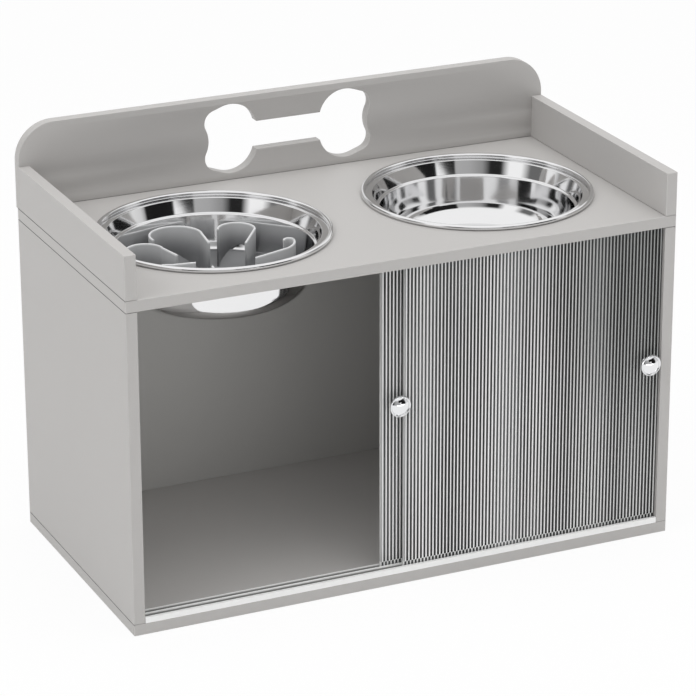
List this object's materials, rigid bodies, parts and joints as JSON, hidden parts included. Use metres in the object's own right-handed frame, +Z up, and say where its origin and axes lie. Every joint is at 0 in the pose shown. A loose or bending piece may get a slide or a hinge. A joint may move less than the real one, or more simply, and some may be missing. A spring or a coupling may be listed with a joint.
{
  "type": "elevated dog feeder with storage",
  "caption": "Raised pet feeding cabinet with lift-out steel bowls, a slow-feeder insert, guards with a bone cut-out and sliding fluted doors over a storage space.",
  "frame": {"origin": "on the floor, at the centre of the cabinet's footprint", "axes": "+X to the right seen from the front, +Y to the back, +Z up"},
  "size_m": [0.6, 0.3202, 0.442],
  "materials": {
    "laminate": "light grey melamine, satin, with sealed edges",
    "hardboard": "thin board, grey foil",
    "white_plastic": "extruded, satin",
    "clear_acrylic": "clear fluted acrylic",
    "chrome": "bright chrome plate",
    "zinc": "zinc plate",
    "bowl_steel": "polished stainless steel",
    "grey_plastic": "translucent grey, satin",
    "beech": "plain turned wood"
  },
  "bodies": {
    "cabinet": {"bottom_board": "laminate", "left_side_panel": "laminate", "right_side_panel": "laminate", "top_board": "laminate", "rear_panel": "hardboard", "left_side_guard": "laminate", "right_side_guard": "laminate", "back_guard": "laminate", "lower_track": "white_plastic", "base_screws": "zinc", "panel_dowels": "beech", "cam_locks": "zinc", "cam_bolts": "zinc", "side_guard_screws": "zinc", "back_guard_screws": "zinc", "rear_panel_screws": "zinc"},
    "left_door": {"left_door": "clear_acrylic", "left_knob": "chrome", "left_knob_screw": "zinc"},
    "right_door": {"right_door": "clear_acrylic", "right_knob": "chrome", "right_knob_screw": "zinc"},
    "left_bowl": {"left_bowl": "bowl_steel"},
    "right_bowl": {"right_bowl": "bowl_steel"},
    "slow_feeder": {"insert_saucer": "grey_plastic", "insert_rear_fin": "grey_plastic", "insert_rear_right_fin": "grey_plastic", "insert_rear_left_fin": "grey_plastic", "insert_front_left_fin": "grey_plastic", "insert_front_fin": "grey_plastic", "insert_right_fin": "grey_plastic"}
  },
  "joints": [
    {"name": "left_door_slide", "type": "slide", "parent": "cabinet", "child": "left_door", "axis": [1, 0, 0], "range_m": [-0.2615, 0]},
    {"name": "right_door_slide", "type": "slide", "parent": "cabinet", "child": "right_door", "axis": [1, 0, 0], "range_m": [-0.0015, 0]},
    {"name": "left_bowl_lift", "type": "slide", "parent": "cabinet", "child": "left_bowl", "axis": [0, 0, 1], "range_m": [0, 0.16]},
    {"name": "right_bowl_lift", "type": "slide", "parent": "cabinet", "child": "right_bowl", "axis": [0, 0, 1], "range_m": [0, 0.16]},
    {"name": "slow_feeder_lift", "type": "slide", "parent": "left_bowl", "child": "slow_feeder", "axis": [0, 0, 1], "range_m": [0, 0.16]}
  ]
}
